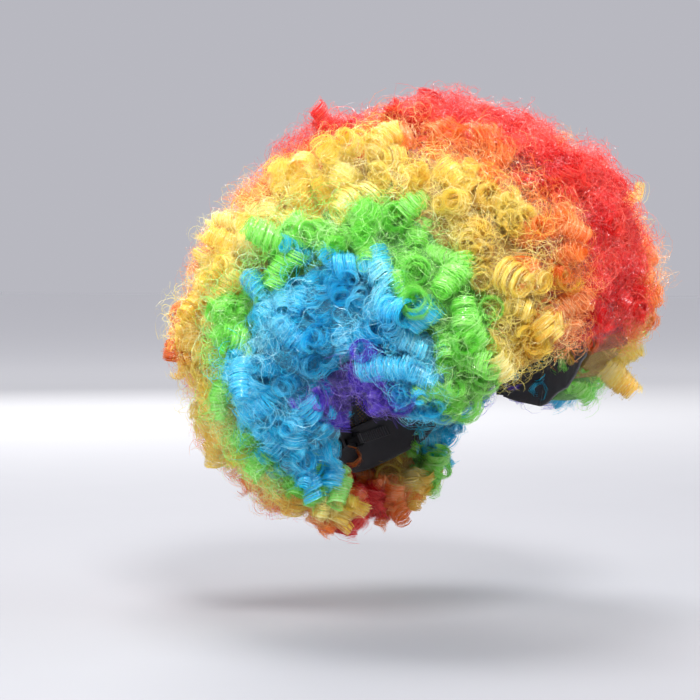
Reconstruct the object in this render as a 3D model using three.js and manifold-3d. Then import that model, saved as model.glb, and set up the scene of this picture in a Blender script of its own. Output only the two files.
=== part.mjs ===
// A rainbow curly costume wig, modelled as it sits on a head: a stretch cap of net panels, bands and ribbons,
// rows of weft track sewn round it from the forehead to the nape, a mass of hair for each colour, and a pair of
// hooked elastic adjusters inside the nape. Millimetres, +Z up, the wearer faces -Y and the wearer's right is -X.
import * as THREE from "three";
import { mergeVertices } from "three/addons/utils/BufferGeometryUtils.js";
import Module from "manifold-3d";

const wasm = await Module();
wasm.setup();

// ---- Driving dimensions ----

// The head that the cap is cut for: an ellipsoid about the origin, 560 mm round at the level of the origin.
const headBreadth = 160;
const headLength = 198;
const crownHeight = 110;

// The rows of hair run round this point on the line between the ears.
const rowCentreY = 8;
const rowCentreZ = -16;

// The outside of the hair.
const hairWidth = 304;
const hairFront = 162;
const hairBack = 180;
const hairTop = 179;
const hairWidestLevel = 30;
const rimBulk = 0.5; // thickness of the hair at its edge, as a share of that on the crown
const rimFade = 30; // degrees from the front and back edges at which the hair is at its full thickness
const earFade = 12; // degrees from the ear at which it is

// Cloth and tape, from the head outwards.
const ribbonThickness = 0.6;
const netThickness = 0.8;
const bandThickness = 1.8;
const trackThickness = 1.2;
const clearGap = 0.2; // least clear space between two layers
const seamGap = 0.4; // clear space between two pieces sewn edge to edge

// Widths of the strips.
const frontBandWidth = 26;
const napeBandWidth = 30;
const napeBandEarWidth = 8;
const earBindingWidth = 5;
const ribbonWidth = 14;
const trackWidth = 3;

// Adjuster: an elastic strap with a hook that catches one of a row of loops.
const strapWidth = 7;
const strapThickness = 1;
const strapLength = 22;
const strapRootRing = 50; // degrees, where the strap is sewn down
const adjusterTurn = 204; // degrees, the line that strap, hook and loops lie on
const barRadius = 0.7;
const barClearance = 0.3;
const eyeWall = 0.6; // the strap's fold round the bar
const hookThickness = 0.8;
const hookLength = 11;
const hookSideWall = 1.2;
const hookThroat = 1.4; // between the plate and the leg that turns back
const hookLegLength = 5;
const hookLegWidth = 3.6;
const hookToLoops = 2.4; // from the hook's tip to the first loop
const loopCount = 4;
const loopPitch = 4;
const loopTapeWidth = 2;
const loopTapeThickness = 0.6;
const loopHeight = 1.2;
const loopSpan = 5.4;
const loopMargin = 1; // of the backing round the loops

// Care label, blank.
const labelWidth = 24;
const labelHeight = 12;
const labelThickness = 0.5;
const labelTurn = 192; // degrees, the level of its middle

// The rings are angles from the wearer's right-ear axis, 0, over the crown, 90, to the left-ear axis, 180.
const earRing = 8; // where the cap is cut away round the ear
const tabRing = 33; // where the ear tab meets the front band
const napeFullRing = 50; // where the nape band has its full width
const crownRing = 66; // the seam between the crown net and the side nets
const colourEdges = { purple: 19, blue: 33, green: 45, yellow: 59, orange: 70 }; // red is what is left
const trackRings = { purple: [15], blue: [23, 29], green: [36, 42], yellow: [49, 56], orange: [62, 67] };
const redTrackRings = [75, 85, 95, 105];
const trackInset = 3; // degrees that a track stops short of the cap's edge

// Edges as [ring, turn] points. A turn is an angle round the ear axis: 0 at the face, 90 at the crown, 180 at the back.
const capFrontEdge = [[8, -4], [16, -10], [32, -9], [45, 4], [62, 16], [90, 27]];
const capBackEdge = [[8, 196], [20, 212], [36, 222], [62, 220], [90, 216]];
const hairFrontEdge = [[8, -10], [20, -13], [32, -11], [45, 3], [60, 11], [90, 18]];
const hairBackEdge = [[8, 204], [20, 222], [36, 240], [52, 249], [70, 242], [90, 235]];

// Facets: degrees to a step, and steps to a half turn.
const clothStep = 6;
const trackStep = 8;
const hairStep = 9;
const roundSteps = 12;

const fabric = {
  net: 0x2a2a2c,
  ribbon: 0x38383c,
  band: 0x232326,
  track: 0x303034,
  elastic: 0x1c1c1f,
  label: 0xe9e7e2,
};
const hookPlastic = 0x161618;
const hair = { purple: 0x4a2aa8, blue: 0x1495d6, green: 0x4ed22c, yellow: 0xf2b92c, orange: 0xf2641c, red: 0xe3202a };

// ---- Places on the head ----

const rowCentre = new THREE.Vector3(0, rowCentreY, rowCentreZ);
const headSemi = new THREE.Vector3(headBreadth / 2, headLength / 2, crownHeight);
const hairMiddle = new THREE.Vector3(0, (hairBack - hairFront) / 2, hairWidestLevel);
const hairSemi = new THREE.Vector3(hairWidth / 2, (hairBack + hairFront) / 2, hairTop - hairWidestLevel);
const degrees = THREE.MathUtils.radToDeg;
const radians = THREE.MathUtils.degToRad;

// Unit vector from the row centre.
function direction(ring, turn) {
  const [a, b] = [radians(ring), radians(turn)];
  return new THREE.Vector3(-Math.cos(a), -Math.sin(a) * Math.cos(b), Math.sin(a) * Math.sin(b));
}

// Distance from the row centre along a direction to an ellipsoid round it.
function reach(along, middle, semi) {
  const from = rowCentre.clone().sub(middle).divide(semi);
  const way = along.clone().divide(semi);
  const [a, b, c] = [way.dot(way), way.dot(from), from.dot(from) - 1];
  return (-b + Math.sqrt(b * b - a * c)) / a;
}

const noMiddle = new THREE.Vector3();
const toHead = (ring, turn) => reach(direction(ring, turn), noMiddle, headSemi);

// A point that lies out from the head's surface, along the line from the row centre.
function placeAt(ring, turn, out) {
  return direction(ring, turn).multiplyScalar(toHead(ring, turn) + out).add(rowCentre);
}

// Angles that give a length on the head: across the rings, and along one.
const acrossRings = (length, ring, turn) => degrees(length / toHead(ring, turn));
const alongRing = (length, ring, turn) =>
  degrees(length / (toHead(ring, turn) * Math.sin(radians(ring))));

// An edge's turn at a ring, eased between its points and the same on both sides of the head.
function edgeTurn(edge, ring) {
  const side = Math.min(ring, 180 - ring);
  const after = Math.max(1, edge.findIndex(([r]) => r >= side));
  const [[r0, t0], [r1, t1]] = [edge[after - 1], edge[after]];
  return t0 + (t1 - t0) * THREE.MathUtils.smoothstep(side, r0, r1);
}

// ---- Layers, as distances out from the head ----

// How far the flat facets of a step fall below the crown, where the head is the most curved.
const alongCurve = crownHeight / headSemi.y ** 2;
const acrossCurve = crownHeight / headSemi.x ** 2;
const facetDip = (step, curve) => ((toHead(90, 90) * radians(step)) ** 2 * curve) / 8;

const clothGap = clearGap + facetDip(clothStep, alongCurve + acrossCurve);
const trackGap = clearGap + facetDip(trackStep, alongCurve);
const hairGap = clearGap + facetDip(hairStep, alongCurve + acrossCurve);

const layer = (inside, thickness) => [inside, inside + thickness];
const crossRibbonLayer = layer(0, ribbonThickness);
const centreRibbonLayer = layer(crossRibbonLayer[1] + clothGap, ribbonThickness);
const netLayer = layer(centreRibbonLayer[1] + clothGap, netThickness);
const bandLayer = layer(netLayer[1] - bandThickness, bandThickness);
const trackLayer = layer(netLayer[1] + trackGap, trackThickness);
const strapLayer = layer(bandLayer[0] - clothGap - strapThickness, strapThickness);
const labelLayer = layer(centreRibbonLayer[0] - clothGap - labelThickness, labelThickness);
const hairInside = trackLayer[1] + hairGap;

// How far out the hair stands: full on the crown, and thinner towards its edge.
function hairOutside(ring, turn) {
  const side = Math.min(ring, 180 - ring);
  const fullness = Math.min(
    (side - earRing) / earFade,
    (turn - edgeTurn(hairFrontEdge, ring)) / rimFade,
    (edgeTurn(hairBackEdge, ring) - turn) / rimFade,
  );
  const bulk = rimBulk + (1 - rimBulk) * THREE.MathUtils.smoothstep(fullness, 0, 1);
  return (reach(direction(ring, turn), hairMiddle, hairSemi) - toHead(ring, turn)) * bulk;
}

// ---- Making solids ----

const parts = new THREE.Group();

function add(name, geometry, colour, roughness = 0.85) {
  const material = new THREE.MeshStandardMaterial({ color: colour, roughness, metalness: 0 });
  const mesh = new THREE.Mesh(geometry, material);
  mesh.name = name;
  parts.add(mesh);
}

// A block bent onto the head: spot(u, v, w) gives the ring, turn and distance out of each of its corners,
// with u, v and w from 0 to 1 across the rings, along the turn and outwards.
function bentBlock(ringSteps, turnSteps, spot) {
  const block = new THREE.BoxGeometry(1, 1, 1, ringSteps, turnSteps, 1);
  const corner = block.getAttribute("position");
  for (let i = 0; i < corner.count; i++) {
    const [ring, turn, out] = spot(corner.getX(i) + 0.5, corner.getY(i) + 0.5, corner.getZ(i) + 0.5);
    corner.setXYZ(i, ...placeAt(ring, turn, out));
  }
  block.deleteAttribute("normal");
  block.deleteAttribute("uv");
  return mergeVertices(block);
}

const mix = THREE.MathUtils.lerp;
const steps = (angle, step) => Math.max(1, Math.ceil(Math.abs(angle) / step));

// Rings at which a panel has its corners: its ends and the whole steps between, so that neighbours' edges match.
function ringStops(from, to, step) {
  const stops = [from];
  for (let ring = Math.ceil(from / step) * step; ring < to; ring += step) {
    if (ring - from > 0.5 && to - ring > 0.5) stops.push(ring);
  }
  return [...stops, to];
}

// A panel between two rings, whose turns run from one edge to another.
function panel([fromRing, toRing], startTurn, endTurn, [inside, outside], step = clothStep) {
  const middle = (fromRing + toRing) / 2;
  const turnSteps = steps(endTurn(middle) - startTurn(middle), step);
  const stops = ringStops(fromRing, toRing, step);
  return bentBlock(stops.length - 1, turnSteps, (u, v, w) => {
    const ring = stops[Math.round(u * (stops.length - 1))];
    const turn = mix(startTurn(ring), endTurn(ring), v);
    const out = mix(inside, typeof outside === "function" ? outside(ring, turn) : outside, w);
    return [ring, turn, out];
  });
}

// A strip of even width that runs along a ring.
function strip(ring, width, startTurn, endTurn, depths, step = clothStep) {
  const stepsAcross = width > earBindingWidth ? 2 : 1;
  return bentBlock(stepsAcross, steps(endTurn - startTurn, step), (u, v, w) => {
    const turn = mix(startTurn, endTurn, v);
    return [ring + (u - 0.5) * acrossRings(width, ring, turn), turn, mix(...depths, w)];
  });
}

const toSolid = (geometry) => {
  const plain = geometry.clone();
  plain.deleteAttribute("normal");
  plain.deleteAttribute("uv");
  const merged = mergeVertices(plain, 1e-4);
  const vertProperties = new Float32Array(merged.getAttribute("position").array);
  const triVerts = new Uint32Array(merged.index.array);
  return new wasm.Manifold(new wasm.Mesh({ numProp: 3, vertProperties, triVerts }));
};

function toGeometry(solid) {
  const { vertProperties, triVerts } = solid.getMesh();
  const geometry = new THREE.BufferGeometry();
  geometry.setAttribute("position", new THREE.BufferAttribute(vertProperties, 3));
  return geometry.setIndex(new THREE.BufferAttribute(triVerts, 1));
}

const joined = (geometries) => toGeometry(geometries.map(toSolid).reduce((all, next) => all.add(next)));

// ---- Cap ----

const capFront = (ring) => edgeTurn(capFrontEdge, ring);
const capBack = (ring) => edgeTurn(capBackEdge, ring);
const bindingEnd = earRing + acrossRings(earBindingWidth, earRing, 90);
const seamAngle = acrossRings(seamGap, 90, 90);
const seamTurn = (ring) => alongRing(seamGap, ring, 90);

// Above this edge of the front band and the ear tabs, the net begins.
function frontTop(ring) {
  const at = THREE.MathUtils.clamp(ring, tabRing, 180 - tabRing);
  return capFront(at) + alongRing(frontBandWidth, at, capFront(at));
}

// Below this edge of the nape band, the net ends.
function napeTop(ring) {
  const fromEar = THREE.MathUtils.smoothstep(Math.min(ring, 180 - ring), bindingEnd, napeFullRing);
  const width = mix(napeBandEarWidth, napeBandWidth, fromEar);
  return capBack(ring) - alongRing(width, ring, capBack(ring));
}

const netStart = (ring) => frontTop(ring) + seamTurn(ring);
const netEnd = (ring) => napeTop(ring) - seamTurn(ring);

const mirrored = ([from, to]) => [180 - to, 180 - from];
const sides = [
  { side: "right", rings: (pair) => pair, ring: (ring) => ring, sign: 1 },
  { side: "left", rings: mirrored, ring: (ring) => 180 - ring, sign: -1 },
];

function addCap() {
  const toCentre = [tabRing + seamAngle, 180 - tabRing - seamAngle];
  const toEars = [bindingEnd + seamAngle, 180 - bindingEnd - seamAngle];
  add("crown_net", panel([crownRing, 180 - crownRing], netStart, netEnd, netLayer), fabric.net);
  add("front_band", panel(toCentre, capFront, frontTop, bandLayer), fabric.band);
  add("nape_band", panel(toEars, napeTop, capBack, bandLayer), fabric.band);
  for (const { side, rings, ring } of sides) {
    const net = rings([bindingEnd + seamAngle, crownRing - seamAngle]);
    const tab = rings([bindingEnd + seamAngle, tabRing]);
    const middle = ring((earRing + bindingEnd) / 2);
    const binding = strip(middle, earBindingWidth, capFront(earRing), capBack(earRing), bandLayer);
    add("side_net_" + side, panel(net, netStart, netEnd, netLayer), fabric.net);
    add("ear_tab_" + side, panel(tab, capFront, frontTop, bandLayer), fabric.band);
    add("ear_binding_" + side, binding, fabric.elastic);
  }
}

function addRibbons() {
  const from = netStart(90);
  const to = netEnd(90);
  add("centre_ribbon", strip(90, ribbonWidth, from, to, centreRibbonLayer), fabric.ribbon);
  const ends = [bindingEnd + seamAngle, 180 - bindingEnd - seamAngle];
  const cross = bentBlock(steps(ends[1] - ends[0], clothStep), 2, (u, v, w) => {
    const ring = mix(...ends, u);
    return [ring, 90 + (v - 0.5) * alongRing(ribbonWidth, ring, 90), mix(...crossRibbonLayer, w)];
  });
  add("cross_ribbon", cross, fabric.ribbon);
}

// ---- Wefts: a track for each row, and a mass of hair for each colour ----

function addTrack(name, ring) {
  const turns = [capFront(ring) + trackInset, capBack(ring) - trackInset];
  add(name, strip(ring, trackWidth, ...turns, trackLayer, trackStep), fabric.track);
}

function addHair(name, colour, rings) {
  const front = (ring) => edgeTurn(hairFrontEdge, ring);
  const back = (ring) => edgeTurn(hairBackEdge, ring);
  const span = [rings[0] + seamAngle, rings[1] - seamAngle];
  add(name, panel(span, front, back, [hairInside, hairOutside], hairStep), hair[colour], 0.6);
}

function addWefts() {
  for (const { side, rings, ring } of sides) {
    let from = earRing;
    for (const [colour, to] of Object.entries(colourEdges)) {
      addHair(colour + "_hair_" + side, colour, rings([from, to]));
      trackRings[colour].forEach((row, i) => addTrack([colour, "weft", side, i + 1].join("_"), ring(row)));
      from = to;
    }
  }
  addHair("red_hair", "red", [colourEdges.orange, 180 - colourEdges.orange]);
  redTrackRings.forEach((row, i) => addTrack("red_weft_" + (i + 1), row));
}

// ---- Adjusters ----

// The frame of a hook: x along the nape towards the middle of the back, y up, and z inwards to the head,
// from the line of its bar.
function hookFrame({ ring, sign }) {
  const bar = strapRootRing + strapAngle;
  const origin = placeAt(ring(bar), adjusterTurn, eyeDepth);
  const end = placeAt(ring(bar + acrossRings(hookLength, bar, adjusterTurn)), adjusterTurn, eyeDepth);
  const along = end.sub(origin).normalize();
  const up = placeAt(ring(bar), adjusterTurn - 1, eyeDepth).sub(origin).multiplyScalar(sign);
  up.addScaledVector(along, -up.dot(along)).normalize();
  return new THREE.Matrix4().makeBasis(along, up, along.clone().cross(up)).setPosition(origin);
}

// A block that lies along the nape: x towards the middle of the back from a ring, y up, z inwards from the band.
function napeBlock({ ring, sign }, start, [x0, x1], [y0, y1], [z0, z1]) {
  const place = (x, y, z) => {
    const at = ring(start + acrossRings(x, start, adjusterTurn));
    return [at, adjusterTurn - alongRing(y, at, adjusterTurn), strapLayer[1] - z];
  };
  const along = steps(acrossRings(x1 - x0, start, adjusterTurn), clothStep / 2);
  if (sign > 0) {
    return bentBlock(along, 1, (u, v, w) => place(mix(x0, x1, u), mix(y1, y0, v), mix(z1, z0, w)));
  }
  return bentBlock(along, 1, (u, v, w) => place(mix(x1, x0, u), mix(y1, y0, v), mix(z1, z0, w)));
}

function slab(x0, x1, y0, y1, z0, z1) {
  return new THREE.BoxGeometry(x1 - x0, y1 - y0, z1 - z0).translate((x0 + x1) / 2, (y0 + y1) / 2, (z0 + z1) / 2);
}

const eyeInside = barRadius + barClearance;
const eyeOutside = eyeInside + eyeWall;
const eyeDepth = strapLayer[1] - eyeOutside; // the bar's line lies this far out from the head
const strapAngle = acrossRings(strapLength, strapRootRing, adjusterTurn);

function strapSolid(where) {
  const half = strapWidth / 2;
  const web = napeBlock(where, strapRootRing, [0, strapLength], [-half, half], [0, strapThickness]);
  const eye = new THREE.Shape().absarc(0, 0, eyeOutside, 0, 2 * Math.PI);
  eye.holes.push(new THREE.Path().absarc(0, 0, eyeInside, 0, 2 * Math.PI, true));
  const fold = new THREE.ExtrudeGeometry(eye, { depth: strapWidth, bevelEnabled: false, curveSegments: roundSteps });
  fold.translate(0, 0, -half).rotateX(Math.PI / 2).applyMatrix4(hookFrame(where));
  const hole = new THREE.CylinderGeometry(eyeInside, eyeInside, 2 * strapWidth, 2 * roundSteps);
  hole.applyMatrix4(hookFrame(where));
  return toGeometry(toSolid(web).add(toSolid(fold)).subtract(toSolid(hole)));
}

// Bar, two side walls, a plate and a leg that turns back under it on the side of the band.
function hookSolid(where) {
  const half = strapWidth / 2 + barClearance;
  const wall = half + hookSideWall;
  const plateStart = eyeOutside + barClearance;
  const plate = [barRadius, barRadius + hookThickness];
  const leg = [plate[0] - hookThroat - hookThickness, plate[0] - hookThroat];
  const pieces = [
    new THREE.CylinderGeometry(barRadius, barRadius, 2 * wall, 2 * roundSteps),
    slab(plateStart, hookLength, -hookLegWidth / 2, hookLegWidth / 2, ...plate),
    slab(plateStart, plateStart + 2 * hookSideWall, -wall, wall, ...plate),
    slab(hookLength - hookThickness, hookLength, -hookLegWidth / 2, hookLegWidth / 2, leg[0], plate[1]),
    slab(hookLength - hookLegLength, hookLength, -hookLegWidth / 2, hookLegWidth / 2, ...leg),
  ];
  for (const [low, high] of [[-wall, -half], [half, wall]]) {
    pieces.push(slab(-barRadius, plateStart + 2 * hookSideWall, low, high, -barRadius, plate[1]));
  }
  return joined(pieces).applyMatrix4(hookFrame(where));
}

// A backing tape with a row of raised loops.
function loopsSolid(where) {
  const bar = strapRootRing + strapAngle;
  const start = bar + acrossRings(hookLength + hookToLoops, bar, adjusterTurn);
  const piece = (...spans) => napeBlock(where, start, ...spans);
  const inner = loopSpan / 2;
  const outer = inner + loopTapeThickness;
  const backing = outer + loopMargin;
  const underside = loopTapeThickness + loopHeight;
  const top = underside + loopTapeThickness;
  const length = (loopCount - 1) * loopPitch + loopTapeWidth;
  const pieces = [piece([-loopMargin, length + loopMargin], [-backing, backing], [0, loopTapeThickness])];
  for (let i = 0; i < loopCount; i++) {
    const along = [i * loopPitch, i * loopPitch + loopTapeWidth];
    pieces.push(piece(along, [-outer, outer], [underside, top]));
    pieces.push(piece(along, [-outer, -inner], [0, top]));
    pieces.push(piece(along, [inner, outer], [0, top]));
  }
  return joined(pieces);
}

function addAdjusters() {
  for (const where of sides) {
    add("adjuster_strap_" + where.side, strapSolid(where), fabric.elastic);
    add("adjuster_hook_" + where.side, hookSolid(where), hookPlastic, 0.35);
    add("adjuster_loops_" + where.side, loopsSolid(where), fabric.elastic);
  }
}

function addLabel() {
  const label = bentBlock(4, 2, (u, v, w) => {
    const ring = 90 + (u - 0.5) * acrossRings(labelWidth, 90, labelTurn);
    const turn = labelTurn + (v - 0.5) * alongRing(labelHeight, ring, labelTurn);
    return [ring, turn, mix(...labelLayer, w)];
  });
  add("care_label", label, fabric.label);
}

addCap();
addRibbons();
addWefts();
addAdjusters();
addLabel();

export default parts;
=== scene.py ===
"""A rainbow curly costume wig: ringlets and frizz in rings of colour on a stretch cap."""

import math

import bmesh
import bpy
import numpy as np
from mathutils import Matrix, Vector
from mathutils.bvhtree import BVHTree


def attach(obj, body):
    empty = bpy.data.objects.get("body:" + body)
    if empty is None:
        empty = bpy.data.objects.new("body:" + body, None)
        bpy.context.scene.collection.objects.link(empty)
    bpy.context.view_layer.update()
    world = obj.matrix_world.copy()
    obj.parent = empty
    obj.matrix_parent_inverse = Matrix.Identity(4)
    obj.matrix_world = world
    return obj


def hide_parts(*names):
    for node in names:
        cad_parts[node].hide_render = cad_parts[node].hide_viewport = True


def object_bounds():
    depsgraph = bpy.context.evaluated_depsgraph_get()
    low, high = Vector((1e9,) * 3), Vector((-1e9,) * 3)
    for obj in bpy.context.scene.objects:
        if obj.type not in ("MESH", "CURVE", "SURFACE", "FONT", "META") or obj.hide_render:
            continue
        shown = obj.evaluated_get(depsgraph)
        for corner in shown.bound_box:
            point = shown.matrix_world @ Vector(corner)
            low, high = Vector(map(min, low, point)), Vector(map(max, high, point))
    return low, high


bl_info = {
    "name": "Rainbow Costume Wig",
    "version": (1, 0, 0),
    "blender": (4, 5, 0),
    "location": "3D View > Sidebar > Wig",
    "description": "Dresses a costume wig with ringlets, frizz, cap cloth and stitching",
    "category": "Object",
}

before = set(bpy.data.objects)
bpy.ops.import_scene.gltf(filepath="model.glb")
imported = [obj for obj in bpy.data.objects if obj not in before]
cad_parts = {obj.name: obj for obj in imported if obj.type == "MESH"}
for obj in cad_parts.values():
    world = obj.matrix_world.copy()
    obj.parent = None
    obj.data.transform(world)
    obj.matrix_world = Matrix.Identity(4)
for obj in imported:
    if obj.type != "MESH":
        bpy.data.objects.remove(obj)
cad_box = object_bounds()

CAP_BODY = "cap"


# ---- Shader expressions ----


class Value:
    """A socket that can be used in a sum, so that an expression adds its Math nodes."""

    def __init__(self, graph, socket):
        self.graph = graph
        self.socket = socket

    def _maths(self, operation, *values):
        return self.graph.node("ShaderNodeMath", {"operation": operation}, dict(enumerate(values)))[0]

    def __add__(self, other):
        return self._maths("ADD", self, other)

    def __sub__(self, other):
        return self._maths("SUBTRACT", self, other)

    def __mul__(self, other):
        return self._maths("MULTIPLY", self, other)

    def __rsub__(self, other):
        return self._maths("SUBTRACT", other, self)

    def __truediv__(self, other):
        return self._maths("DIVIDE", self, other)

    __radd__ = __add__
    __rmul__ = __mul__

    def teeth(self, pitch):
        """Rises from 0 to 1 and falls again once in each pitch."""
        return 1.0 - self._maths("ABSOLUTE", self._maths("FRACT", self / pitch) * 2.0 - 1.0)

    def clamped(self):
        return self._maths("MAXIMUM", self._maths("MINIMUM", self, 1.0), 0.0)

    def smooth(self, low, high):
        limits = {"From Min": low, "From Max": high, "To Min": 0.0, "To Max": 1.0}
        settings = {"interpolation_type": "SMOOTHSTEP"}
        return self.graph.node("ShaderNodeMapRange", settings, {"Value": self, **limits})[0]


class Graph:
    """The nodes of one material."""

    def __init__(self, name):
        self.material = bpy.data.materials.new(name)
        self.material.use_nodes = True
        self.tree = self.material.node_tree
        self.tree.nodes.clear()

    def node(self, kind, settings=None, inputs=None):
        """Adds a node, sets it up, fills its sockets, and returns its outputs."""
        made = self.tree.nodes.new(kind)
        for key, value in (settings or {}).items():
            if key == "stops":
                self._fill_ramp(made.color_ramp, value)
            else:
                setattr(made, key, value)
        for key, value in (inputs or {}).items():
            if isinstance(value, Value):
                self.tree.links.new(value.socket, made.inputs[key])
            else:
                made.inputs[key].default_value = value
        return [Value(self, socket) for socket in made.outputs if socket.enabled]

    @staticmethod
    def _fill_ramp(ramp, stops):
        for i, (place, colour) in enumerate(stops):
            stop = ramp.elements[i] if i < len(ramp.elements) else ramp.elements.new(place)
            stop.position = place
            stop.color = colour

    def attribute(self, name):
        return self.node("ShaderNodeAttribute", {"attribute_name": name})[2]

    def place(self):
        return self.node("ShaderNodeTexCoord")[3]

    def noise(self, scale, detail=2.0, where=None, roughness=0.5):
        inputs = {"Vector": where or self.place(), "Scale": scale, "Detail": detail, "Roughness": roughness}
        return self.node("ShaderNodeTexNoise", None, inputs)[0]

    def ramp(self, factor, stops):
        return self.node("ShaderNodeValToRGB", {"stops": stops}, {"Fac": factor})[0]

    def mix(self, factor, a, b, blend="MIX"):
        """Mixes two colours: each is a link, or four numbers."""
        settings = {"data_type": "RGBA", "blend_type": blend}
        return self.node("ShaderNodeMix", settings, {0: factor, 6: a, 7: b})[0]

    def bump(self, height, distance, strength=1.0):
        inputs = {"Height": height, "Distance": distance, "Strength": strength}
        return self.node("ShaderNodeBump", None, inputs)[0]

    def finish(self, shader):
        self.node("ShaderNodeOutputMaterial", None, {"Surface": shader})
        return self.material

    def principled(self, inputs):
        return self.node("ShaderNodeBsdfPrincipled", None, inputs)[0]


def colour4(values, gain=1.0):
    return tuple(min(1.0, v * gain) for v in values[:3]) + (1.0,)


# ---- The head and the space that the hair fills ----


class Head:
    """Places on the wig, as rings and turns round the line between the ears, and distances out from the head.

    A ring is the angle from the right-ear side, 0, over the crown, 90, to the left-ear side, 180.
    A turn is the angle round the ear line: 0 at the face, 90 at the crown and 180 at the back.
    """

    def __init__(self, settings):
        self.centre = np.array(settings.row_centre)
        self.semi = np.array((settings.head_breadth / 2, settings.head_length / 2, settings.crown_height))

    @staticmethod
    def ways(ring, turn):
        a, b = np.broadcast_arrays(np.radians(ring), np.radians(turn))
        return np.stack((-np.cos(a), -np.sin(a) * np.cos(b), np.sin(a) * np.sin(b)), -1)

    def reach(self, ways):
        from_middle = self.centre / self.semi
        w = ways / self.semi
        a = (w * w).sum(-1)
        b = w @ from_middle
        c = from_middle @ from_middle - 1
        return (-b + np.sqrt(b * b - a * c)) / a

    def place(self, ring, turn, out):
        ways = self.ways(ring, turn)
        return self.centre + ways * (self.reach(ways) + out)[..., None]

    def read(self, points):
        """The rings, turns and distances out of points."""
        offset = np.asarray(points) - self.centre
        length = np.linalg.norm(offset, axis=-1)
        ways = offset / length[..., None]
        ring = np.degrees(np.arccos(-ways[..., 0]))
        turn = np.degrees(np.arctan2(ways[..., 2], -ways[..., 1]))
        return ring, np.where(turn < -60, turn + 360, turn), length - self.reach(ways)


def mesh_points(mesh):
    flat = np.zeros(len(mesh.vertices) * 3)
    mesh.vertices.foreach_get("co", flat)
    return flat.reshape(-1, 3)


def node_points(name):
    return mesh_points(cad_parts[name].data)


def hair_nodes():
    return sorted(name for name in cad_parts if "_hair" in name)


def blend_over(grid, row, column):
    """Values between the points of a grid."""
    row = np.clip(row, 0, grid.shape[0] - 1.001)
    column = np.clip(column, 0, grid.shape[1] - 1.001)
    r, c = row.astype(int), column.astype(int)
    fr, fc = row - r, column - c
    near = grid[r, c] * (1 - fc) + grid[r, c + 1] * fc
    far = grid[r + 1, c] * (1 - fc) + grid[r + 1, c + 1] * fc
    return near * (1 - fr) + far * fr


COLOUR_ENDS = np.array((0.0, 19.0, 33.0, 45.0, 59.0, 70.0, 90.0))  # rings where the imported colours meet
BOW_TURNS = (0.0, 90.0, 180.0, 235.0)
# The rings where the colours meet once the rows are bowed, at each of those turns.
BOWED_ENDS = np.array((
    (0.0, 22.0, 33.0, 46.0, 65.0, 77.0, 90.0),
    (0.0, 13.0, 36.0, 51.0, 65.0, 74.0, 90.0),
    (0.0, 11.0, 29.0, 37.0, 69.0, 80.0, 90.0),
    (0.0, 9.0, 39.0, 47.0, 60.0, 72.0, 90.0),
))


def bend(values, source, target):
    """Moves values along straight stretches, from one set of ends to another."""
    result = target[..., 0] + 0.0 * values
    for k in range(len(COLOUR_ENDS) - 1):
        share = (values - source[..., k]) / (source[..., k + 1] - source[..., k])
        result = result + np.clip(share, 0, 1) * (target[..., k + 1] - target[..., k])
    return result


def bowed_ends(turn):
    """The rings where the colours meet, which bow as the rows go over the head."""
    return np.stack([np.interp(turn, BOW_TURNS, column) for column in BOWED_ENDS.T], -1)


def straight_ring(ring, turn):
    """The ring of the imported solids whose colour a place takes."""
    side = bend(np.minimum(ring, 180 - ring), bowed_ends(turn), COLOUR_ENDS)
    return np.where(np.asarray(ring) > 90, 180 - side, side)


def bowed_ring(ring, turn):
    """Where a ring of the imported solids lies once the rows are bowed."""
    straight = np.broadcast_to(COLOUR_ENDS, np.shape(turn) + COLOUR_ENDS.shape)
    side = bend(np.minimum(ring, 180 - ring), straight, bowed_ends(turn))
    return np.where(np.asarray(ring) > 90, 180 - side, side)


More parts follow.
